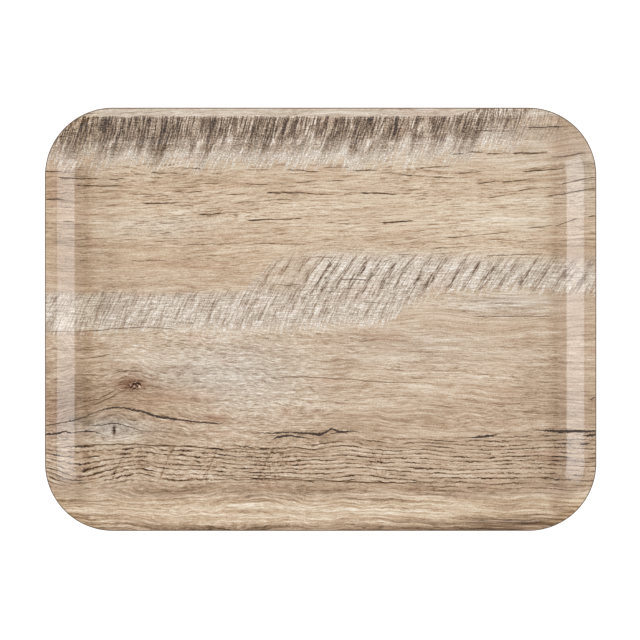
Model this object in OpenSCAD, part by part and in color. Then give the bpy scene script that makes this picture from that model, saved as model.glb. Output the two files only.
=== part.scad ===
// Pressed-laminate serving tray: nine sheets moulded into one shell, and a seal on its trimmed edge.
// The origin is on the table under the middle of the tray, with X along the tray and Z up.

/* [Tray] */
// Length over the rim
tray_l = 430; // [300:5:600]
// Width over the rim
tray_w = 330; // [220:5:460]
// Height from the table to the top of the rim
tray_h = 20; // [16:1:26]
// Radius of the outer corners, in plan
corner_r = 53; // [50:1:80]

/* [Rim] */
// Width of the level lip, out to the edge from where its line meets the wall's
lip_w = 7.6; // [7:0.1:11]
// Slope of the wall, in degrees above the level
wall_angle = 42; // [38:1:50]
// Radius of the bend from the lip down into the wall, on the serving face
brow_r = 6.5; // [5:0.5:8]
// Radius of the bend from the wall into the floor, on the serving face
cove_r = 14; // [8:1:18]
// Radius of the rounded corners of the sealed edge
edge_r = 0.8; // [0.6:0.1:1]

/* [Sheets] */
// Thickness of each clear melamine overlay
overlay_t = 0.25; // [0.2:0.05:0.3]
// Thickness of each printed paper
paper_t = 0.25; // [0.2:0.05:0.3]
// Thickness of each birch veneer
veneer_t = 0.6; // [0.5:0.05:0.7]
// Thickness of the lacquer film that seals the trimmed edge
seal_t = 0.3; // [0.2:0.05:0.4]

/* [Hidden] */
$fn = 96;

// Sheets from the serving face down. sheet(n) lies between depth(n) and depth(n + 1).
stack = [overlay_t, paper_t, veneer_t, veneer_t, veneer_t, veneer_t, veneer_t, paper_t, overlay_t];
function depth(n) = n == 0 ? 0 : depth(n - 1) + stack[n - 1];
tray_t = depth(len(stack));

// The section is drawn in the plane [r, z], where r runs outwards from a corner's centre.
wall_up = [-sin(wall_angle), cos(wall_angle)];
wall_run = (tray_h - tray_t) / tan(wall_angle);
brow_bend = brow_r * tan(wall_angle / 2);
cove_bend = cove_r * tan(wall_angle / 2);
brow_c = [corner_r - lip_w + brow_bend, tray_h - brow_r];
cove_c = [corner_r - lip_w - wall_run - cove_bend, tray_t + cove_r];
spare = 1;
// Each bend's circle laps this far over the straights it joins, so that they cross and don't only touch.
lap = 0.001;

// Half the distance between the corners' centres, and those centres in turning order.
half = [tray_l / 2 - corner_r, tray_w / 2 - corner_r];
corners = [[half.x, half.y], [-half.x, half.y], [-half.x, -half.y], [half.x, -half.y]];

// All that lies below the pressed face at one depth in the stack.
module below(d) {
    brow_out = brow_r - d;
    cove_out = cove_r + d;
    difference() {
        union() {
            polygon([
                [-spare, -spare - d],
                [-spare, tray_t - d],
                [cove_c.x, tray_t - d],
                cove_c - cove_out * wall_up,
                brow_c + brow_out * wall_up,
                [brow_c.x, tray_h - d],
                [corner_r + spare, tray_h - d],
                [corner_r + spare, -spare - d]
            ]);
            translate(brow_c) circle(brow_out + lap);
        }
        translate(cove_c) circle(cove_out + lap);
    }
}

// The trimmed blank: its edge is planed square with a bevel above and below, inside the seal.
module trimmed() {
    lip_low = tray_h - tray_t;
    polygon([
        [0, -spare],
        [0, tray_h + spare],
        [corner_r - edge_r, tray_h + spare],
        [corner_r - edge_r, tray_h],
        [corner_r - seal_t, tray_h - edge_r],
        [corner_r - seal_t, lip_low + edge_r],
        [corner_r - edge_r, lip_low],
        [corner_r - edge_r, -spare]
    ]);
}

// The seal's film, rounded over the two bevels and down to nothing where they end.
module seal_section() {
    film_h = tray_t - 2 * edge_r;
    difference() {
        union() {
            translate([corner_r - edge_r, tray_h - tray_t + edge_r]) square([edge_r, film_h]);
            for (z = [tray_h - edge_r, tray_h - tray_t + edge_r])
                translate([corner_r - edge_r, z]) circle(edge_r);
        }
        trimmed();
    }
}

// Carries a section round the tray: a quarter turn at each corner, then the straight side after it.
module round_the_tray() {
    for (k = [0:3]) {
        run = k % 2 == 0 ? 2 * half.x : 2 * half.y;
        translate(corners[k]) {
            rotate([0, 0, 90 * k]) rotate_extrude(angle = 90) children();
            rotate([0, 0, 90 * k + 90]) translate([0, run, 0]) rotate([90, 0, 0])
                linear_extrude(run) children();
        }
    }
}

// One sheet of the stack, pressed to shape and trimmed.
module sheet(n) {
    round_the_tray() intersection() {
        difference() {
            below(depth(n));
            below(depth(n + 1));
        }
        trimmed();
    }
    translate([-half.x, -half.y, tray_t - depth(n + 1)]) cube([2 * half.x, 2 * half.y, stack[n]]);
}

module wear_overlay() { color("burlywood", 0.4) sheet(0); }
module decor_sheet() { color("burlywood") sheet(1); }
module face_veneer() { color("wheat") sheet(2); }
module upper_crossband() { color("tan") sheet(3); }
module centre_veneer() { color("wheat") sheet(4); }
module lower_crossband() { color("tan") sheet(5); }
module back_veneer() { color("wheat") sheet(6); }
module backing_sheet() { color("peru") sheet(7); }
module bottom_overlay() { color("peru", 0.4) sheet(8); }
module edge_seal() { color("saddlebrown") round_the_tray() seal_section(); }

wear_overlay();
decor_sheet();
face_veneer();
upper_crossband();
centre_veneer();
lower_crossband();
back_veneer();
backing_sheet();
bottom_overlay();
edge_seal();
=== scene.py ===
"""A pressed-laminate serving tray with a saw-marked oak print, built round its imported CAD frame."""
from math import cos, pi, radians, sin, tan

import bmesh
import bpy
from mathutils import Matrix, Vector


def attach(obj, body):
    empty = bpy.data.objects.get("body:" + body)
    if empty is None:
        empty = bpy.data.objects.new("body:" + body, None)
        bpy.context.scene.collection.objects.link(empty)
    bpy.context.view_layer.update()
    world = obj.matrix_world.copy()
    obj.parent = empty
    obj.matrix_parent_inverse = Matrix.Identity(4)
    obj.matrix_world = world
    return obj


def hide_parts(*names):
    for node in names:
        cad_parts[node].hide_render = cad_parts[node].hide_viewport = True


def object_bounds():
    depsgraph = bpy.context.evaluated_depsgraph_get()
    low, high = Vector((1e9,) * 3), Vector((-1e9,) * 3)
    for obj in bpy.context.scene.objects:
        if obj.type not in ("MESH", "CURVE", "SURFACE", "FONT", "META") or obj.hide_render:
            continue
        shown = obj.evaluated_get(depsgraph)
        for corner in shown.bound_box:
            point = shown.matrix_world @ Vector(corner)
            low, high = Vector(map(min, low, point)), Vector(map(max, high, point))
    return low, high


MM = 0.001
# The section's sizes, in mm, as in part.scad.
CORNER_R = 53.0
LIP_W = 7.6
WALL_ANGLE = radians(42)
BROW_R = 6.5
COVE_R = 14.0
EDGE_R = 0.8
SEAL_T = 0.3
TRAY_T = 4.0
SKIN_T = 0.5
GLUE_DEPTHS = (1.1, 1.7, 2.3, 2.9)
# How finely the meshes are cut: steps along a bend, round a corner, and along the long and short sides.
BEND_STEPS = 18
TURN_STEPS = 28
SIDE_STEPS = (40, 28)
# Steps across the wall and across the lip.
WALL_STEPS = 6
LIP_STEPS = 4
# How far apart two seeds' slices of a noise lie.
SEED_STEP = 7.31
# A noise node gives values close round this middle, which this factor spreads.
NOISE_MIDDLE = 0.5
NOISE_SPREAD = 8


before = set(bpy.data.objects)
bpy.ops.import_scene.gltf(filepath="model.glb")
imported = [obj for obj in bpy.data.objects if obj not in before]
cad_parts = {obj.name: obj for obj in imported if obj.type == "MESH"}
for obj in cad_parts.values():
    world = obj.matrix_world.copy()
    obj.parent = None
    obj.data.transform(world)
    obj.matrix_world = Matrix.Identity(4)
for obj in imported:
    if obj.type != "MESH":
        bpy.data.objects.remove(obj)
cad_box = [list(corner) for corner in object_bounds()]
high = Vector(cad_box[1]) / MM
TRAY_H = high.z
HALF = Vector((high.x - CORNER_R, high.y - CORNER_R))


# ---------------------------------------------------------------- meshes

def bend_centres():
    """The centres of the section's two bends, in the plane [r, z] with r = 0 at a corner's centre."""
    bend = tan(WALL_ANGLE / 2)
    wall_run = (TRAY_H - TRAY_T) / tan(WALL_ANGLE)
    brow = (CORNER_R - LIP_W + BROW_R * bend, TRAY_H - BROW_R)
    cove = (CORNER_R - LIP_W - wall_run - COVE_R * bend, TRAY_T + COVE_R)
    return brow, cove


def pressed_face(depth, edge):
    """The face at one depth in the stack: points from the middle of the floor out to r = edge."""
    brow, cove = bend_centres()
    angles = [WALL_ANGLE * k / BEND_STEPS for k in range(BEND_STEPS + 1)]
    floor = [(r, TRAY_T - depth) for r in (0, cove[0] / 2, cove[0] - 1)]
    up = [(cove[0] + (COVE_R + depth) * sin(a), cove[1] - (COVE_R + depth) * cos(a)) for a in angles]
    over = [(brow[0] - (BROW_R - depth) * sin(a), brow[1] + (BROW_R - depth) * cos(a)) for a in angles]
    foot, head = up[-1], over[-1]
    wall = [tuple(foot[i] + (head[i] - foot[i]) * k / WALL_STEPS for i in (0, 1))
            for k in range(1, WALL_STEPS)]
    lip = [(brow[0] + (edge - brow[0]) * k / LIP_STEPS, TRAY_H - depth) for k in range(1, LIP_STEPS + 1)]
    return floor + up + wall + over[::-1] + lip


def edge_at(depth):
    """How far out the trimmed sheets reach at a depth near either face, on the seal's inner bevels."""
    inset = min(depth, TRAY_T - depth)
    return CORNER_R - EDGE_R + (EDGE_R - SEAL_T) * inset / EDGE_R


def arc(centre, start, end, steps):
    """Points round a quarter of the seal's rounded corner, angles in degrees."""
    angles = [radians(start + (end - start) * k / steps) for k in range(steps + 1)]
    return [(centre[0] + EDGE_R * cos(a), centre[1] + EDGE_R * sin(a)) for a in angles]


def seal_profile():
    """The seal's closed section: rounded outside, with a shallow line where each glue line shows."""
    core = CORNER_R - EDGE_R
    top, bottom = TRAY_H - EDGE_R, TRAY_H - TRAY_T + EDGE_R
    groove, half_w = 0.05, 0.08
    outside = arc((core, top), 90, 0, 6)
    for depth in GLUE_DEPTHS:
        z = TRAY_H - depth
        outside += [(CORNER_R, z + half_w), (CORNER_R - groove, z), (CORNER_R, z - half_w)]
    outside += arc((core, bottom), 0, -90, 6)
    return outside + [(CORNER_R - SEAL_T, bottom), (CORNER_R - SEAL_T, top)]


def plan_loop(r):
    """The tray's outline in plan at a distance r from the corners' centres, anticlockwise."""
    points = []
    for k, (sx, sy) in enumerate(((1, 1), (-1, 1), (-1, -1), (1, -1))):
        centre = Vector((sx * HALF.x, sy * HALF.y))
        for i in range(TURN_STEPS + 1):
            a = radians(90) * (k + i / TURN_STEPS)
            points.append(centre + r * Vector((cos(a), sin(a))))
        start = points[-1]
        run = Vector(((-1, 0), (0, -1), (1, 0), (0, 1))[k]) * 2 * (HALF.x if k % 2 == 0 else HALF.y)
        steps = SIDE_STEPS[k % 2]
        points += [start + run * i / steps for i in range(1, steps)]
    return points


def floor_grid(bm, z, up):
    """The flat middle of a face, between the corners' centres, on the same steps as plan_loop's sides."""
    nx, ny = SIDE_STEPS
    rows = [[bm.verts.new((HALF.x * (2 * i / nx - 1) * MM, HALF.y * (2 * j / ny - 1) * MM, z * MM))
             for i in range(nx + 1)] for j in range(ny + 1)]
    for lower, upper in zip(rows, rows[1:]):
        for i in range(nx):
            corners = [lower[i], lower[i + 1], upper[i + 1], upper[i]]
            bm.faces.new(corners if up else corners[::-1])


def sweep(name, section, closed):
    """Carries a section round the tray. An open section starts and ends in the middle of the floor."""
    bm = bmesh.new()
    loops = [[bm.verts.new((p.x * MM, p.y * MM, z * MM)) for p in plan_loop(r)] for r, z in section]
    pairs = list(zip(loops, loops[1:]))
    if closed:
        pairs.append((loops[-1], loops[0]))
    else:
        floor_grid(bm, section[0][1], True)
        floor_grid(bm, section[-1][1], False)
    for inner, outer in pairs:
        count = len(inner)
        for i in range(count):
            j = (i + 1) % count
            bm.faces.new((inner[i], outer[i], outer[j], inner[j]))
    bmesh.ops.remove_doubles(bm, verts=bm.verts, dist=1e-6)
    bmesh.ops.recalc_face_normals(bm, faces=bm.faces)
    mesh = bpy.data.meshes.new(name)
    bm.to_mesh(mesh)
    bm.free()
    mesh.shade_smooth()
    mesh.set_sharp_from_angle(angle=radians(35))
    piece = bpy.data.objects.new(name, mesh)
    bpy.context.scene.collection.objects.link(piece)
    return piece


def skin(name, top, bottom):
    """A thin closed skin between two depths in the stack."""
    upper = pressed_face(top, edge_at(top))
    lower = pressed_face(bottom, edge_at(bottom))
    return sweep(name, upper + lower[::-1], closed=False)


# ---------------------------------------------------------------- node language

def linear(r, g, b, gain=1.0):
    """An sRGB colour, 0 to 255, as the linear colour that a node wants, times a gain."""
    def channel(c):
        c /= 255
        return (c / 12.92 if c <= 0.04045 else ((c + 0.055) / 1.055) ** 2.4) * gain
    return (channel(r), channel(g), channel(b), 1.0)


class Wire:
    """A node's output that takes part in arithmetic: each operation adds one Math node."""

    def __init__(self, tree, socket):
        self.tree, self.socket = tree, socket

    def __add__(self, other):
        return self.tree.math("ADD", self, other)

    def __radd__(self, other):
        return self.tree.math("ADD", other, self)

    def __sub__(self, other):
        return self.tree.math("SUBTRACT", self, other)

    def __rsub__(self, other):
        return self.tree.math("SUBTRACT", other, self)

    def __mul__(self, other):
        return self.tree.math("MULTIPLY", self, other)

    def __truediv__(self, other):
        return self.tree.math("DIVIDE", self, other)

    def __abs__(self):
        return self.tree.math("ABSOLUTE", self)


class Tree:
    """A material's node tree, with the few kinds of field that its patterns are made of."""

    def __init__(self, name):
        self.material = bpy.data.materials.new(name)
        self.material.use_nodes = True
        self.nodes = self.material.node_tree.nodes
        self.links = self.material.node_tree.links
        self.shader = self.nodes["Principled BSDF"]
        self.object = Wire(self, self.add("TexCoord").outputs["Object"])

    def add(self, kind, inputs=(), **settings):
        """Adds a node, sets its properties, and feeds its inputs by name or by index."""
        node = self.nodes.new("ShaderNode" + kind)
        for key, value in settings.items():
            setattr(node, key, value)
        for key, value in dict(inputs).items():
            self.feed(node.inputs[key], value)
        return node

    def feed(self, socket, value):
        """Links a wire to a socket, or sets the socket to a plain value."""
        if isinstance(value, Wire):
            self.links.new(value.socket, socket)
        else:
            socket.default_value = value

    def math(self, operation, *values, clamp=False):
        """One Math node on wires or numbers, held between 0 and 1 if it is clamped."""
        node = self.add("Math", enumerate(values), operation=operation, use_clamp=clamp)
        return Wire(self, node.outputs[0])

    def place(self):
        """The point's x, y and z in mm, in the object's own frame."""
        scaled = self.add("VectorMath", {0: self.object, "Scale": 1 / MM}, operation="SCALE")
        split = self.add("SeparateXYZ", {0: Wire(self, scaled.outputs[0])})
        return [Wire(self, out) for out in split.outputs]

    def noise(self, x, y, seed, detail=2.0, rough=0.5):
        """Smooth noise of about -1 to 1 over two computed coordinates, with features one unit across."""
        point = self.add("CombineXYZ", {0: x, 1: y, 2: seed * SEED_STEP})
        return self.noise_at(point, detail, rough)

    def field(self, across, up, seed, detail=2.0, rough=0.5):
        """Smooth noise of about -1 to 1 over the tray, with features so many mm across and up."""
        point = self.add("Mapping", {"Vector": self.object, "Location": (0, 0, seed * SEED_STEP),
                                     "Scale": (1 / MM / across, 1 / MM / up, 0)})
        return self.noise_at(point, detail, rough)

    def noise_at(self, point, detail, rough):
        """Smooth noise at a point node's output, spread to about -1 to 1."""
        node = self.add("TexNoise", {"Vector": Wire(self, point.outputs[0]), "Scale": 1.0,
                                     "Detail": detail, "Roughness": rough})
        return (Wire(self, node.outputs[0]) - NOISE_MIDDLE) * NOISE_SPREAD

    def fade(self, value, start, end, low=0.0, high=1.0):
        """A smooth step: low at start, high at end, whichever of the two is greater."""
        node = self.add("MapRange", {0: value, 1: start, 2: end, 3: low, 4: high},
                        interpolation_type="SMOOTHSTEP")
        return Wire(self, node.outputs[0])

    def window(self, value, a, b, c, d):
        """0 up to a, 1 from b to c, and 0 again from d."""
        return self.fade(value, a, b) * self.fade(value, d, c)

    def spot(self, x, y, cx, cy, rx, ry):
        """A soft round bump, 1 at its middle."""
        across = (x - cx) / rx
        up = (y - cy) / ry
        return self.math("EXPONENT", (across * across + up * up) * -1)

    def curve(self, value, points):
        """A line through points (value, result); both are inside 0 to 1."""
        node = self.add("FloatCurve", {"Value": value})
        line = node.mapping.curves[0].points
        for _ in points[2:]:
            line.new(0.5, 0.5)
        for point, place in zip(line, sorted(points)):
            point.location = place
            point.handle_type = "VECTOR"
        node.mapping.update()
        return Wire(self, node.outputs[0])

    def ramp(self, value, stops):
        """A colour ramp through stops (value, colour)."""
        node = self.add("ValToRGB", {0: value})
        elements = node.color_ramp.elements
        for _ in stops[2:]:
            elements.new(0.5)
        for element, (position, colour) in zip(elements, stops):
            element.position = position
            element.color = colour
        return Wire(self, node.outputs[0])

    def mix(self, share, one, other, blend="MIX"):
        """Two colours mixed."""
        node = self.add("Mix", {0: share, 6: one, 7: other}, data_type="RGBA", blend_type=blend)
        return Wire(self, node.outputs[2])

    def most(self, *values):
        """The greatest of several values."""
        result = values[0]
        for value in values[1:]:
            result = self.math("MAXIMUM", result, value)
        return result

    def finish(self, colour, roughness, height, bump=0.05, **constants):
        """Feeds the shader. Height is in mm, and the constants go to the shader's own sockets."""
        self.feed(self.shader.inputs["Base Color"], colour)
        self.feed(self.shader.inputs["Roughness"], roughness)
        node = self.add("Bump", {"Height": height * MM, "Strength": 1.0, "Distance": bump})
        self.links.new(node.outputs[0], self.shader.inputs["Normal"])
        for name, value in constants.items():
            self.shader.inputs[name.replace("_", " ")].default_value = value
        return self.material


class Marks:
    """Long thin marks in the grain. Each is a line through (x, y, half its width), all in mm."""

    # Half the size of the area that marks may lie in.
    HALF_X, HALF_Y = 220.0, 170.0
    # How steeply a mark's edge fades, per mm, and what is added to its half width, in mm.
    SHARP = 3.0
    EXTRA = 0.1

    def __init__(self, tree, x, y):
        self.tree = tree
        self.x = (x + self.HALF_X) / (2 * self.HALF_X)
        self.y = (y + self.HALF_Y) / (2 * self.HALF_Y)

    def line(self, points):
        """0 to 1, and 1 on the line."""
        span_x, span_y = 2 * self.HALF_X, 2 * self.HALF_Y
        places = [((px + self.HALF_X) / span_x, (py + self.HALF_Y) / span_y) for px, py, _ in points]
        widths = [((px + self.HALF_X) / span_x, (w + self.EXTRA) / span_y) for px, _, w in points]
        off = abs(self.y - self.tree.curve(self.x, places))
        inside = self.tree.curve(self.x, widths) - off
        return self.tree.math("MULTIPLY", inside, span_y * self.SHARP, clamp=True)

    def dashes(self, rows):
        """Dashes (start, end, y at the start, y at the end, half width) that don't overlap along x."""
        points = []
        for start, end, y0, y1, w in sorted(rows):
            points += [(start, y0, 0), (start + 2, y0, w), (end - 3, y1, w * 0.8), (end, y1, 0)]
        return self.line(points)


# ---------------------------------------------------------------- the printed oak

GAIN = 1.03

# Dashes in the grain: start, end, height at the start, height at the end, half width.
DASHES = [
    [(-110, -92, 119, 118.5, .40), (-27, 0, 117.5, 116.5, .5), (2, 24, 119.5, 119.5, .4),
     (25, 46, 117, 117, .5), (47, 61, 115, 115, .45), (62, 84, 113.5, 113, .5),
     (88, 106, 112, 111.5, .45), (108, 128, 115, 116.5, .5), (159, 179, 116, 117.5, .7),
     (179, 194, 118, 118.5, .4)],
    [(-217, -202, 115.5, 115.5, .5), (-148, -135, 114.5, 114.5, .45), (-134, -111, 115.5, 115, .5),
     (-61, -40, 106.5, 106.5, .4), (-38, -26, 106.5, 106.5, .35), (-20, -2, 108, 109, .4),
     (2, 20, 109, 109.5, .35), (74, 103, 118.5, 120.5, .45), (122, 141, 106.5, 109, .5),
     (142, 166, 108, 110, .55), (188, 216, 106.5, 110.5, .5)],
    [(-205, -174, 110.5, 110.5, .55), (-167, -154, 110.5, 110.5, .55), (-116, -92, 100.5, 100.5, .5),
     (-75, -59, 98.5, 98.5, .4), (-43, 11, 99.8, 98.5, .7), (17, 27, 98.5, 98.5, .5),
     (31, 61, 99.5, 98.7, .75), (74, 86, 99, 99, .4), (131, 150, 96, 98, .45),
     (155, 183, 101.5, 104, .5)],
    [(-193, -154, 105, 105, .5), (-141, -113, 91.5, 91.5, .7), (-108, -98, 89.5, 89.5, .4),
     (-96, -76, 82.5, 83.5, .65), (-70, -62, 82, 82, .45), (-58, -13, 78, 79.5, .65),
     (3, 25, 75.8, 75.8, .35), (48, 74, 75.8, 77.3, .8), (99, 150, 64, 68.7, .45),
     (162, 183, 71.7, 73.4, .5), (184, 203, 73.4, 79, .45), (208, 216, 80, 80.5, .6)],
    [(-217, -200, 93.5, 93.8, .75), (-176, -168, 87, 87, .4), (-140, -120, 96.5, 97.5, .4),
     (-66, -50, 92, 92.5, .4), (-44, -28, 94, 94.5, .4), (0, 8, 81, 81.5, .4), (178, 216, 97, 101.7, .5)],
    [(103, 115, 130, 130.5, .45), (116, 129, 131.5, 131.5, .45), (130, 150, 130, 130.5, .5),
     (151, 180, 130.5, 131.2, .9), (181, 207, 127.5, 129.5, .5)],
    [(-217, -195, 150, 147.5, .5), (122, 152, 147.7, 147.7, .45), (161, 189, 150.2, 150.2, .5)],
    [(-190, -160, 63, 64, .3), (-110, -60, 58.5, 60, .35), (-55, -10, 60, 59, .4), (4, 54, 46.8, 46.2, .5),
     (16, 39, 31.4, 31, .35), (60, 76, 50.5, 50.8, .4), (120, 184, 2.2, 2.2, .35),
     (209, 216, -62.8, -61, .6)],
    [(-201, -193, 76, 76, .35), (-190, -166, 52, 52.5, .3), (-150, -120, 46, 46.5, .35),
     (-34, -15, 27, 27.2, .35), (-10, 11, 48.6, 49, .4), (30, 45, 13.4, 13.4, .35),
     (90, 118, 56, 57.5, .35), (130, 175, 50, 51.5, .4),
     (202, 211, -97.2, -96.6, .8)],
]

# Longer marks, and cracks: each point is across, up, half width.
THIN_LINES = [
    [(-205, -9.7, .3), (-185, -9.4, .45), (-163, -7.6, .45), (-152, -6.8, .5), (-139, -6.4, .45),
     (-121, -7.3, .4), (-113, -8.4, .1)],
    [(-189, -31.2, .1), (-175, -29.7, .45), (-163, -27, .2)],
    [(-37, -46, .2), (-22, -45.4, .5), (-6, -45.4, .5), (10, -47, .45), (28, -47.4, .5),
     (49, -49.3, .45), (74, -50, .2)],
    [(-166, -44.6, .1), (-158, -41, .4), (-152, -40.2, .5), (-143, -41, .4), (-135, -43, .1)],
    [(-75, -124, .2), (-39, -125.4, .6), (6, -127, .6), (30, -128.2, .7), (74, -128.7, .5)],
    [(-189, -69.5, .3), (-176, -66.5, .4), (-166, -62, .6), (-158, -57.5, .3)],
    [(-189, -66, .2), (-175, -63, .35), (-167, -59, .5), (-160, -54.5, .2)],
    [(-194, -99.4, .3), (-176, -98.8, .6), (-150, -98.6, .5), (-128, -99.4, .6), (-104, -99.8, .45),
     (-86, -101.6, .6), (-62, -102.4, .6), (-44, -102.2, .3)],
]
CRACKS = [
    [(-216, -83.2, .3), (-193, -79, .45), (-183, -75.5, .35), (-173, -71.4, .35), (-164, -69.6, .6),
     (-154, -69.9, .65), (-150, -70.8, .8), (-141, -72.5, .85), (-127, -77, 1.0), (-116, -78.5, .9),
     (-107, -79.6, .7), (-97, -80.8, .6), (-85, -81.8, .5), (-72, -82.6, .0)],
    [(-188, -84, .0), (-175, -83.5, .45), (-162, -81.8, .5), (-156, -83, .45), (-148, -85.6, .35),
     (-135, -89, .0)],
    [(-216, -89.8, .9), (-204, -89, .8), (-199, -87.8, .5), (-197, -89.4, .45), (-184, -88, .6),
     (-175, -89.4, .4), (-167, -92.4, .0)],
    [(-60, -89, .1), (-38, -89.7, .5), (-27, -89, .6), (-16, -89.3, .8), (-8, -90, .9), (-1, -90.8, 1.2),
     (2.4, -89.6, 1.0), (5.3, -88.2, .8), (8.8, -86.0, .7), (11.7, -87.5, .9), (15.3, -88.2, .8),
     (25, -88.3, .4), (30, -88.6, .0)],
    [(6, -90.6, .1), (10, -89.7, .4), (14, -89.0, .6), (19, -89.0, .3), (23, -89.8, .0)],
    [(-37, -94.2, .3), (-34, -92.4, 1.1), (-24, -91.7, .7), (-12, -93.4, .5), (-6, -94.6, .0)],
    [(106, -94, .1), (119, -92.9, .5), (128, -92.2, 1.0), (135, -91.4, .9), (141, -90.4, .1)],
    [(145, -92.6, .1), (161, -92.2, .4), (167, -91.4, .1)],
    [(169, -87.3, .1), (180, -87.6, .8), (190, -88.2, 1.4), (197, -87.6, 1.0), (208, -87.6, .8),
     (217, -86.6, .7)],
    [(171, -91, .1), (178, -91.7, .5), (187, -91.4, .1)],
    [(204, -91, .1), (208, -90.6, .9), (217, -90, 1.0)],
]
# The height of the upper saw band's upper edge, and the one at which the middle band's strokes end below.
TOP_EDGE = 158.3
FOOT_Y = 23
# The stretch of the middle band that its darker strokes lie in, and where each one's foot is.
COMB_START = -60
COMB_SPAN = 270
FEET = (-48, -38, -26.5, -15.5, -4.4, 1.5, 10.5, 22, 33.4, 46.7, 57.8, 72, 82, 99.5, 112, 125.5,
        139.6, 155.4, 168, 184, 200)

# How far apart the dark grain lines lie, and the fainter ones, in mm.
LINE_PITCH = 3.4
FAINT_PITCH = 5.7
# Where short ticks cross the dark grain lines: middle and radii.
TICKED = [(-87, -118, 6, 10), (-36, -112, 15, 12), (45, -112, 8, 12)]
# Where single saw strokes cross the lines, at the height of their middles.
CUTS = (-158, -121, -86, -43)
CUT_Y = -112

# The width that the heights below run over, in mm.
BOARD_W = 340
# Slow tone up the board: height, level of 0 to 255.
LEVELS = [(-170, 140), (-161, 144), (-157, 172), (-151, 196), (-145, 190), (-139, 162), (-132, 162),
          (-120, 178), (-98, 176), (-93, 174), (-86, 172), (-78, 168), (-66, 173), (-55, 178),
          (-45, 183), (-30, 187), (-10, 186), (5, 187), (20, 185), (24, 181), (45, 185), (60, 185),
          (72, 195), (95, 194), (104, 185), (120, 189), (126, 190), (157, 188), (159, 193), (170, 196)]
# Patches that are lighter or darker than the rest: middle, radii, change in level.
PATCHES = [(160, 152, 26, 12, -22), (-188, 110, 45, 30, -11), (-52, 106, 36, 10, -8),
           (-48, 90, 24, 8, -10), (-155, 92, 22, 10, -7), (-138, 74, 36, 9, 14), (205, 32, 14, 14, -20),
           (205, 20, 16, 60, -8), (141, 13, 42, 9, 10), (182, 97, 42, 17, 15), (115, 86, 40, 16, 6),
           (92, 162, 22, 5, 14), (-165, -22, 30, 10, -8), (20, -36, 18, 9, -18),
           (-60, -50, 48, 28, 14), (-170, -60, 42, 20, -24), (-108, -64, 38, 9, -13), (-58, -66, 45, 9, 10),
           (-10, -66, 16, 9, 17), (57, 108, 24, 8, 9),
           (-155, 34, 30, 9, -8), (-190, -18, 20, 8, -5), (-82, -79, 12, 5, -16),
           (22, -81, 20, 6, -10), (150, -80, 40, 9, 15),
           (-124, -91, 28, 7, -24), (-15, -92, 30, 6, -24), (-156, -93, 18, 6, 18), (-15, -98, 18, 5, 9),
           (90, -99, 20, 6, -14), (-192, -110, 22, 20, 18), (-135, -113, 34, 6, -10),
           (180, -112, 34, 6, -10), (-135, -125, 50, 5, 12), (-92, -125, 18, 5, 20),
           (120, -125, 36, 5, 18), (22, -124, 20, 6, -10), (-138, -101, 34, 6, -10), (204, -136, 22, 8, 34),
           (176, -136, 20, 6, 12), (-14, -137, 24, 5, -10), (-192, -136, 20, 8, 18),
           (-120, -137, 36, 6, -10), (-80, -137, 44, 6, -19), (20, -136, 18, 6, -9), (45, -147, 18, 6, 10),
           (10, -150, 90, 6, 3), (-190, -158, 26, 6, -18), (142, -160, 42, 8, -40),
           (184, -156, 18, 5, -20), (60, -162, 40, 6, -16), (-50, -161, 40, 5, -9)]

WARM = [(0.10, linear(34, 25, 19, GAIN)), (0.22, linear(76, 56, 40, GAIN)),
        (0.45, linear(137, 112, 88, GAIN)), (0.62, linear(183, 157, 132, GAIN)),
        (0.70, linear(200, 178, 154, GAIN)), (0.76, linear(213, 194, 172, GAIN)),
        (0.84, linear(226, 213, 196, GAIN)), (0.95, linear(246, 240, 230, GAIN))]
GREY = [(0.10, linear(30, 25, 23, GAIN)), (0.22, linear(66, 54, 47, GAIN)),
        (0.45, linear(128, 112, 99, GAIN)), (0.62, linear(171, 157, 143, GAIN)),
        (0.70, linear(190, 178, 164, GAIN)), (0.76, linear(204, 193, 180, GAIN)),
        (0.84, linear(222, 213, 202, GAIN)), (0.95, linear(245, 240, 234, GAIN))]


def grain_flow(t, x, y, slow, low_half):
    """Height measured across the grain: level lines, pushed aside by knots and by slow waves."""
    wavy = t.field(24, 16, 2) * t.fade(x, 10, 110, 1.0, 0.25)
    calm = t.window(y, -140, -128, -96, -86)
    return (y - slow * 2 - wavy * (low_half * 0.6 + 0.3 - calm * 0.5)
            - x * t.fade(y, 20, 60) * 0.035 + x * low_half * 0.022
            - t.spot(x, y, -147, -42, 17, 9) * 5
            + t.spot(x, y, -174, -66, 22, 8) * 4
            - t.spot(x, y, -164, -72, 38, 13) * 10
            + t.spot(x, y, -188, -124, 22, 14) * 5
            - t.spot(x, y, -142, -118, 20, 14) * 5)


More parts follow.
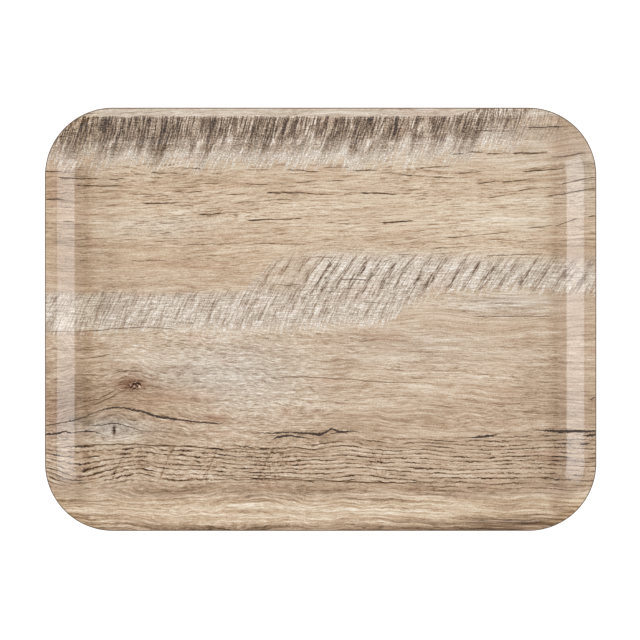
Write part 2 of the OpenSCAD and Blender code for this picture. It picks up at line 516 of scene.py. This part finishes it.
def board_tone_and_wall_shade(t, x, y, flow, slow, low_half, micro):
    """The board's tone: slow bands and patches, and streaks of fibre, with painted shade over the side
    walls and their coves.
    """
    ragged = y + t.field(40, 12, 3) * 0.9
    tone = t.curve(ragged / BOARD_W + 0.5, [(h / BOARD_W + 0.5, v / 255) for h, v in LEVELS]) * 255
    for cx, cy, rx, ry, change in PATCHES:
        tone = tone + t.spot(x, ragged, cx, cy, rx, ry) * change
    # Painted shade: darker over the left and right walls and their coves, and a little less dark over the
    # lips.
    tone = tone - t.fade(x, -174, -189, 0, 25) + t.fade(x, -203, -209, 0, 12)
    tone = tone - t.fade(x, 174, 189, 0, 24) + t.fade(x, 204, 209, 0, 11)
    left, right = t.math("MINIMUM", x, 0), t.math("MAXIMUM", x, 0)
    streak = t.noise(left / 26 + right / 44, flow, 5, detail=3, rough=0.65)
    short = t.noise(left / 6 + right / 10, flow, 6, detail=2, rough=0.65)
    short = short * t.fade(x, -20, 60, 1.0, 0.68)
    scratch = (t.fade(t.noise(x / 13, (y - x * 0.035) / 0.85, 44, detail=2), 0.62, 1.15)
               * t.window(y, 48, 62, 120, 127))
    pores = t.fade(t.noise(x / 5, flow / 0.65, 24, detail=1), 0.5, 1.2)
    long_streak = t.noise(x / 70, flow / 1.7, 37, detail=2) * t.fade(y, -132, -142)
    strip = t.fade(y, -133, -141, 1.0, 0.85)
    return (tone + slow * 4 + t.noise(x / 60, flow / 8, 4) * 5 + streak * strip * 16 + long_streak * 23
            + short * strip * t.math("MULTIPLY_ADD", low_half, 12, 8) + micro * 8
            - pores * t.fade(t.field(70, 18, 25), -0.6, 0.7) * 36 - scratch * 46)


def grain_lines(t, x, y, flow):
    """Strong dark lines near the lower side, broken by ticks, and fainter ones elsewhere."""
    edge = y + t.field(18, 9, 26) * 0.8
    zone = (t.fade(edge, -131, -127) * t.fade(edge - t.fade(x, -40, 60, -3, 2), -94, -99)
            + t.window(edge, -138, -135, -131, -128) * t.fade(x, 60, 90) * 0.6)
    dense = flow + t.field(40, 30, 7) * 0.7 + t.field(3, 2.5, 27, detail=3, rough=0.7) * 0.36
    ridge = t.math("SINE", dense * (2 * pi / LINE_PITCH)) + t.noise(x / 14, dense / 3, 45) * 0.22 - 0.06
    broken = t.fade(t.noise(x / 12, dense / 3, 8, detail=3, rough=0.65), -1.2, 0.5, 0.12, 1.0)
    faint = t.fade(t.math("SINE", dense * (2 * pi / FAINT_PITCH)), 0.2, 1.0)
    faint_zone = t.window(y, -166, -160, -138, -130) * 0.7 + t.window(y, -95, -85, -20, 0) * 0.4
    patchy = t.fade(t.noise(x / 20, dense / 4, 9), -0.4, 0.6)
    tick = t.fade(t.noise((x - y * 0.15) / 1.3, y / 3.5, 28), 0.2, 1.0)
    near = t.most(*[t.spot(x, y, *place) for place in TICKED])
    bow = x - (y - CUT_Y) * 0.46 + t.field(4, 4, 47) * 0.5
    slash = t.most(*[t.window(bow, at - 1.4, at - 0.2, at + 0.2, at + 1.4) for at in CUTS])
    cut = slash * t.window(y, -131, -124, -104, -97) * t.fade(t.noise(x / 3, y / 1.5, 48), -0.9, 0.4)
    ticks = t.most(tick * near * zone, cut)
    ink = t.fade(ridge, 0.36, 1.0) * broken * zone * t.fade(x, 30, 120, 1.0, 0.9)
    return ink, faint * faint_zone * patchy, ticks


def top_saw_band(t, x, y, micro, cross):
    """Saw marks along the upper side. Returns where they lie, how dark they are, and their tone."""
    depth = TOP_EDGE - y
    across = x + depth * 0.24 + depth * depth * 0.0028
    clump = t.noise(across / 9, y / 80, 12, detail=1)
    stroke = t.noise(across / 1.25, y / 16, 13, detail=2, rough=0.6)
    gap = (t.fade(t.math("SINE", (across + clump * 7) * (2 * pi / 20)), 0.74, 1.0)
           * t.fade(t.noise(across / 3, y / 9, 42), -0.8, 0.5))
    shift = t.fade(x, 30, 190, 0, 17)
    over_lip = t.fade(x, 100, 132, 0, 8)
    inside = t.fade(depth + over_lip + t.field(4, 6, 11) * 0.4, -0.6, 0.8)
    ends = t.fade(x + stroke * 8, 212, 140)
    ragged = depth + shift - stroke * 7 - clump * 3 + gap * 6
    dark = inside * t.fade(ragged, 30, 15) * ends
    pale = inside * t.fade(ragged, 39, 31) * t.fade(x + stroke * 8, 212, 130)
    mark = t.math("MINIMUM", t.math("MAXIMUM", stroke, -0.45), 0.6)
    bright = t.math("MINIMUM", stroke, 0.26)
    end = t.spot(x, y, -186, 134, 34, 16) * 22
    dark_tone = (95 + mark * 100 - clump * 17 + gap * 50 + micro * 32 + cross * 13
                 + t.fade(x, 0, 190, 0, 18) + t.fade(depth, 0.5, -1, 0, 44) - end * 0.3)
    pale_tone = (192 + bright * 66 - clump * 6 + gap * 6 + micro * 20 + cross * 12 - end
                 + t.spot(x, y, -30, 132, 60, 7) * 9 + t.spot(x, y, 124, 152, 20, 10) * 8
                 - t.spot(x, y, 165, 147, 24, 10) * 16)
    return pale, dark, pale_tone + (dark_tone - pale_tone) * dark


def middle_saw_band(t, x, y, micro, cross):
    """The whitened band across the middle, with dark slanting strokes on the right."""
    rise = y - FOOT_Y
    slant = x - rise * 0.55 - rise * rise * 0.0035
    hair = t.noise(slant / 1.3, y / 13, 15, detail=2, rough=0.7)
    clump = t.noise(slant / 7, y / 40, 16, detail=1)
    upper = t.fade(slant + hair * 1.5, -61, -49)
    top_edge = upper * 31.5 + 20.5 - t.fade(x, 40, 200, 0, 5)
    low_edge = t.fade(x, -60, 40, -9, -4) + t.fade(x, 42, 95, 0, 27)
    soft = upper * 6 + 2
    bend = t.field(12, 9, 30) * 0.7 + t.field(3, 5, 40) * 0.4
    inside = (t.fade(y + hair * 2, top_edge + soft, top_edge - soft)
              * t.fade(y + hair * 4, low_edge - 4, low_edge + 4)
              * (1 - upper * t.fade(slant, -2, -28) * t.fade(y, 17, 27) * 0.5))
    comb = [(COMB_START, 0)]
    for foot in FEET:
        comb += [(foot - 2.9, 0), (foot - 1.2, 1), (foot + 0.9, 1), (foot + 1.9, 0)]
    comb.append((COMB_START + COMB_SPAN, 0))
    place = t.math("ADD", (slant + bend) / COMB_SPAN, -COMB_START / COMB_SPAN, clamp=True)
    bars = t.curve(place, [((p - COMB_START) / COMB_SPAN, v) for p, v in comb])
    rung = t.window(y + hair * 2.5, 21, 24, 42, 54) + t.window(y, -5, 5, 20, 24) * 0.25
    strand = t.fade(t.noise(slant / 0.7, y / 9, 39, detail=1), -0.45, 0.25, 0.1, 1.0)
    bars = bars * rung * strand * t.fade(x, 80, 200, 1.0, 0.55)
    dull = t.fade(clump, 0.1, 0.7) * t.fade(x, 30, -60, 4, 20)
    mark = t.math("MINIMUM", hair, 0.5)
    tone = (196 - t.fade(x, -50, -120, 0, 7) + t.spot(x, y, 15, 42, 60, 14) * 12
            - t.spot(x, y, 20, 22, 40, 8) * 7 - t.spot(x, y, -160, 22, 60, 9) * 14
            - t.spot(x, y, 202, 38, 22, 13) * 22 - t.spot(x, y, -48, 44, 18, 8) * 10
            + mark * 34 - dull + micro * 18 + cross * 19 - bars * 110)
    return inside, tone


def oak_print():
    """Weathered oak boards printed under gloss melamine, marked across by a saw in two bands, with painted
    shade over the side walls and coves and a painted highlight tint on the right wall.
    """
    t = Tree("oak_print")
    x, y, _ = t.place()
    slow = t.field(90, 45, 1)
    micro = t.field(1.3, 1.0, 10, detail=1)
    low_half = t.fade(y, 10, -20)
    flow = grain_flow(t, x, y, slow, low_half)
    tone = board_tone_and_wall_shade(t, x, y, flow, slow, low_half, micro)
    white_streaks = t.spot(x, y, 141, 13, 42, 9)
    dark_strip = t.spot(x, y, 145, -160, 46, 8)
    tone = tone + (white_streaks * 27 + dark_strip * 30) * t.field(24, 1.0, 43, rough=0.6)
    flecks = t.spot(x, y, -199, -20, 9, 10) * t.fade(t.noise((x + y * 0.5) / 1.5, y / 7, 46), 0.1, 0.6)
    tone = tone + flecks * 20
    ink, faint, ticks = grain_lines(t, x, y, flow)
    tone = tone - ink * 118 - faint * 30 - ticks * 46

    cross = t.field(9, 0.8, 38, detail=1)
    mid, mid_tone = middle_saw_band(t, x, y, micro, cross)
    tone = tone + (mid_tone - tone) * mid * 0.85
    top, top_dark, top_tone = top_saw_band(t, x, y, micro, cross)
    tone = tone + (top_tone - tone) * top * 0.9

    wobble = t.field(9, 9, 18)
    marks = Marks(t, x, y + wobble * 0.3)
    dash = t.most(*[marks.dashes(row) for row in DASHES])
    thin = t.most(*[marks.line(points) for points in THIN_LINES])
    cracks = Marks(t, x, y + t.field(2.2, 2.2, 19) * 0.28 + wobble * 0.15)
    crack = t.most(*[cracks.line(points) for points in CRACKS])
    tone = tone - dash * 118 * t.fade(t.field(5, 2, 20), -1.2, 0.2, 0.5, 1.0) - thin * 70

    knot = t.spot(x, y, -149, -51, 13, 5.5)
    eye = t.spot(x, y, -162.5, -87.5, 1.2, 4.0)
    chips = t.field(1.6, 2.0, 36, detail=1)
    heart = t.fade(t.spot(x, y, -146, -52, 5.5, 4), 0.3, 0.6)
    tone = tone - knot * 34 - eye * 130 - heart * t.fade(chips, -0.1, 0.4) * 85
    tone = tone + heart * t.fade(chips, -0.4, -0.8) * 55
    tone = tone * (1 - crack * 0.97) + crack * 34

    pale_board = t.spot(x, y, -75, -44, 65, 32)
    # Share of the duller second ramp: mostly the print's duller parts, but the spot at x 205, y 110 on the
    # right wall is a painted highlight tint.
    grey_and_highlight_share = t.most((top - top_dark * 0.6) * 0.85, t.spot(x, y, 205, 110, 14, 34) * 0.5,
                  t.spot(x, y, 70, -22, 66, 16) * 0.3, mid * 0.7, t.spot(x, y, -164, -85, 34, 10),
                  pale_board * 0.75, t.fade(y, 156, 159, 0, 0.55), white_streaks * 0.6,
                  t.spot(x, y, -125, 73, 40, 9) * 0.45)
    value = tone / 255
    colour = t.mix(grey_and_highlight_share, t.ramp(value, WARM), t.ramp(value, GREY))
    red = t.most(knot * 1.3, t.spot(x, y, -112, -61, 36, 7) * 0.7, t.spot(x, y, -82, -78, 10, 4),
                 t.spot(x, y, -207, -75, 9, 18) * 0.6, t.spot(x, y, -208, 105, 8, 20) * 0.5,
                 t.fade(t.noise(x / 35, flow / 9, 21), 0.5, 1.8) * 0.4, t.spot(x, y, 62, 148, 8, 5) * 0.6)
    colour = t.mix(red * 0.5, colour, linear(240, 205, 195), "MULTIPLY")
    # Warmer tint: the print's own in most places, but the window across the left cove, x -199 to -165, is
    # painted shade.
    golden_tint_and_cove_shade = t.most(t.spot(x, y, -125, -68, 46, 13) * 0.8,
                    t.window(y, 15, 50, 112, 128) * (1 - mid) * 0.45,
                    t.window(x, -199, -188, -180, -165) * 0.5, t.window(y, -162, -156, -142, -136))
    colour = t.mix(golden_tint_and_cove_shade, colour, linear(255, 251, 242), "MULTIPLY")

    relief = crack * -0.06 - dash * 0.02 - ink * 0.012 + t.field(3, 3, 22) * 0.002
    roughness = t.math("MULTIPLY_ADD", t.field(12, 12, 23), 0.01, 0.18) + crack * 0.4 + dash * 0.2
    return t.finish(colour, roughness, relief, IOR=1.5)


# ---------------------------------------------------------------- the other finishes

def backing_print():
    """The underside's plainer print, straight-grained light oak, with a fine pressed grain."""
    t = Tree("backing_print")
    x, y, _ = t.place()
    flow = y + t.field(80, 40, 31) * 4
    grain = t.noise(x / 30, flow / 1.2, 32, detail=3, rough=0.6)
    board = t.noise(x / 140, flow / 14, 33)
    pore = t.fade(t.noise(x / 8, flow / 0.5, 34), 0.7, 1.5)
    value = t.math("ADD", grain * 0.10 + board * 0.08 - pore * 0.3, 0.5, clamp=True)
    colour = t.ramp(value, [(0.0, linear(104, 80, 58)), (0.5, linear(178, 153, 122)),
                            (1.0, linear(206, 184, 154))])
    roughness = t.math("MULTIPLY_ADD", t.field(5, 5, 35), 0.04, 0.42)
    return t.finish(colour, roughness, grain * 0.01 - pore * 0.02, IOR=1.5)


def edge_lacquer():
    """Dark brown lacquer over the trimmed plies, which show through it as faint level lines."""
    t = Tree("edge_lacquer")
    x, y, z = t.place()
    lip_low, two_plies = TRAY_H - TRAY_T, 1.2
    plies = t.math("SINE", (z - lip_low) * (2 * pi / two_plies))
    along = x + y * 1.7
    fibre = t.noise(along / 3, z / 0.25, 41, detail=3)
    value = t.math("ADD", plies * 0.16 + fibre * 0.08, 0.5, clamp=True)
    colour = t.ramp(value, [(0.0, linear(40, 27, 19)), (1.0, linear(96, 70, 50))])
    roughness = t.math("MULTIPLY_ADD", fibre, 0.05, 0.36)
    return t.finish(colour, roughness, fibre * 0.015, IOR=1.5)


def birch(name, seed, along):
    """Birch veneer with its grain along the tray or across it."""
    t = Tree(name)
    x, y, z = t.place()
    u, v = (x, y) if along else (y, x)
    v = v + t.noise(u / 70, v / 30, seed) * 3
    figure = t.noise(u / 60, v / 6, seed + 1, detail=3)
    fibre = t.noise(u / 12, v / 0.5, seed + 2, detail=2)
    value = t.math("ADD", figure * 0.08 + fibre * 0.07, 0.5, clamp=True)
    colour = t.ramp(value, [(0.0, linear(190, 150, 105)), (0.5, linear(217, 182, 136)),
                            (1.0, linear(235, 208, 168))])
    roughness = t.math("MULTIPLY_ADD", fibre, 0.05, 0.62)
    return t.finish(colour, roughness, fibre * 0.02, IOR=1.5)


# ---------------------------------------------------------------- pieces

def dress(piece, material, slot, *nodes):
    """Gives a piece its material, hangs it on the root body and hides the CAD nodes that it stands for; the
    slot is not used.
    """
    piece.data.materials.append(material)
    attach(piece, "root")
    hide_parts(*nodes)


dress(skin("tray_face", 0, SKIN_T), oak_print(), "oak_print", "wear_overlay", "decor_sheet")
dress(skin("tray_back", TRAY_T - SKIN_T, TRAY_T), backing_print(), "backing_print",
      "backing_sheet", "bottom_overlay")
dress(sweep("edge_band", seal_profile(), closed=True), edge_lacquer(), "edge_lacquer", "edge_seal")

long_birch, cross_birch = birch("birch_long", 51, True), birch("birch_cross", 61, False)
for node, material in (("face_veneer", long_birch), ("upper_crossband", cross_birch),
                       ("centre_veneer", long_birch), ("lower_crossband", cross_birch),
                       ("back_veneer", long_birch)):
    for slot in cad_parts[node].material_slots:
        slot.material = material


# ---------------------------------------------------------------- studio

# How bright the air is, and the patch of ceiling straight above.
AIR = 0.85
CEILING = 0.12
# How far from straight up the patch's full darkness reaches, and its soft edge.
CEILING_HEART = radians(12)
CEILING_EDGE = radians(18)
# The softboxes: place, size across and up, and brightness.
SOFTBOXES = {
    "softbox_left": ((-1.25, 0, 0.339), (0.80, 0.123), 8.9),
    "softbox_right": ((1.25, 0, 0.339), (0.80, 0.123), 7.2),
    "softbox_back": ((0, 1.5, 1.9), (1.8, 1.2), 1.07),
    "softbox_front": ((0, -1.5, 1.9), (1.8, 1.2), 1.07),
}


def studio_floor():
    """A plain white sheet that the tray lies on."""
    t = Tree("white_paper")
    x, y, _ = t.place()
    grain = t.field(2, 2, 71)
    colour = t.ramp(grain * 0.12 + 0.5, [(0.0, (0.90, 0.90, 0.90, 1)), (1.0, (0.94, 0.94, 0.94, 1))])
    material = t.finish(colour, 0.9, grain * 0.01, Emission_Color=(1, 1, 1, 1), Emission_Strength=0.42)
    material.cycles.emission_sampling = "NONE"
    bm = bmesh.new()
    half_w = 4.0
    bmesh.ops.create_grid(bm, x_segments=8, y_segments=8, size=half_w)
    mesh = bpy.data.meshes.new("studio_floor")
    bm.to_mesh(mesh)
    bm.free()
    mesh.materials.append(material)
    floor = bpy.data.objects.new("studio_floor", mesh)
    bpy.context.scene.collection.objects.link(floor)


def softbox(name, place, size, radiance):
    """An area light that faces the tray, of a given brightness."""
    lamp = bpy.data.lights.new(name, "AREA")
    lamp.shape = "RECTANGLE"
    lamp.size, lamp.size_y = size
    lamp.energy = radiance * pi * size[0] * size[1]
    lamp.color = (1, 1, 1)
    box = bpy.data.objects.new(name, lamp)
    box.location = place
    target = Vector((0, 0, 0.01))
    box.rotation_euler = (Vector(place) - target).to_track_quat("Z", "Y").to_euler()
    box.visible_camera = False
    bpy.context.scene.collection.objects.link(box)


def studio_air():
    """White light from all round, but for a dark round patch of ceiling straight above."""
    world = bpy.data.worlds.new("studio_air")
    world.use_nodes = True
    nodes, links = world.node_tree.nodes, world.node_tree.links
    direction = nodes.new("ShaderNodeTexCoord").outputs["Generated"]
    split = nodes.new("ShaderNodeSeparateXYZ")
    patch = nodes.new("ShaderNodeMapRange")
    patch.interpolation_type = "SMOOTHSTEP"
    edge, heart = cos(CEILING_EDGE), cos(CEILING_HEART)
    for index, value in enumerate((edge, heart, AIR, CEILING), start=1):
        patch.inputs[index].default_value = value
    links.new(direction, split.inputs[0])
    links.new(split.outputs["Z"], patch.inputs[0])
    links.new(patch.outputs[0], nodes["Background"].inputs["Strength"])
    nodes["Background"].inputs["Color"].default_value = (1.0, 1.0, 1.0, 1)
    return world


def studio():
    """The floor, the softboxes and the air."""
    studio_floor()
    for name, (place, size, radiance) in SOFTBOXES.items():
        softbox(name, place, size, radiance)
    bpy.context.scene.world = studio_air()
    bpy.context.scene.view_settings.view_transform = "Standard"


def camera():
    """Straight above the tray, half a millimetre left of its middle and below it."""
    lens = bpy.data.cameras.new("camera")
    distance, view_w = 1.6, 0.4988
    lens.lens = lens.sensor_width * distance / view_w
    lens.clip_start, lens.clip_end = 0.05, 50
    eye = bpy.data.objects.new("camera", lens)
    eye.location = (-0.0005, -0.00055, TRAY_H * MM + distance)
    bpy.context.scene.collection.objects.link(eye)
    bpy.context.scene.camera = eye


studio()
camera()

bpy.context.view_layer.update()
